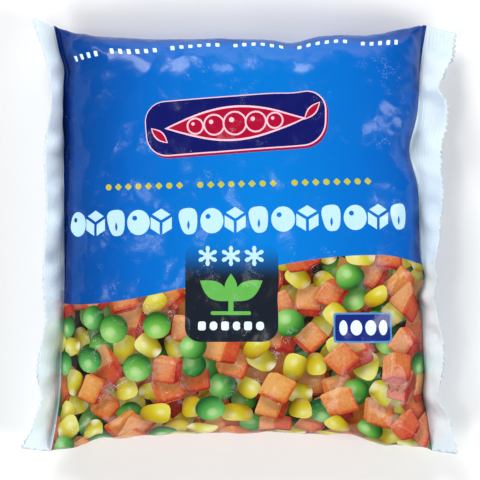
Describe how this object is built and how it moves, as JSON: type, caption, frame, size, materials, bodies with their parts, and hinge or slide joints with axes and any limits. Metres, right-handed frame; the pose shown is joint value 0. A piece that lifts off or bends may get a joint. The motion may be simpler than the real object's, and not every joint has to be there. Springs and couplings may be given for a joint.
{
  "type": "frozen vegetable bag",
  "caption": "Shut pillow bag of printed film with crimped end seals, full of frozen peas, sweetcorn and diced carrot, lying on its back.",
  "frame": {"origin": "on the table, under the middle of the bag's box", "axes": "+X along the film tube from the left end seal to the right one, +Y up the printed front, +Z out of the printed front, away from the table"},
  "size_m": [0.215, 0.2132, 0.0396],
  "materials": {
    "printed_film": "glossy white film printed blue over a field of green, yellow and orange, with bare white crimped seals"
  },
  "bodies": {
    "root": {"bag": "printed_film"}
  },
  "joints": []
}
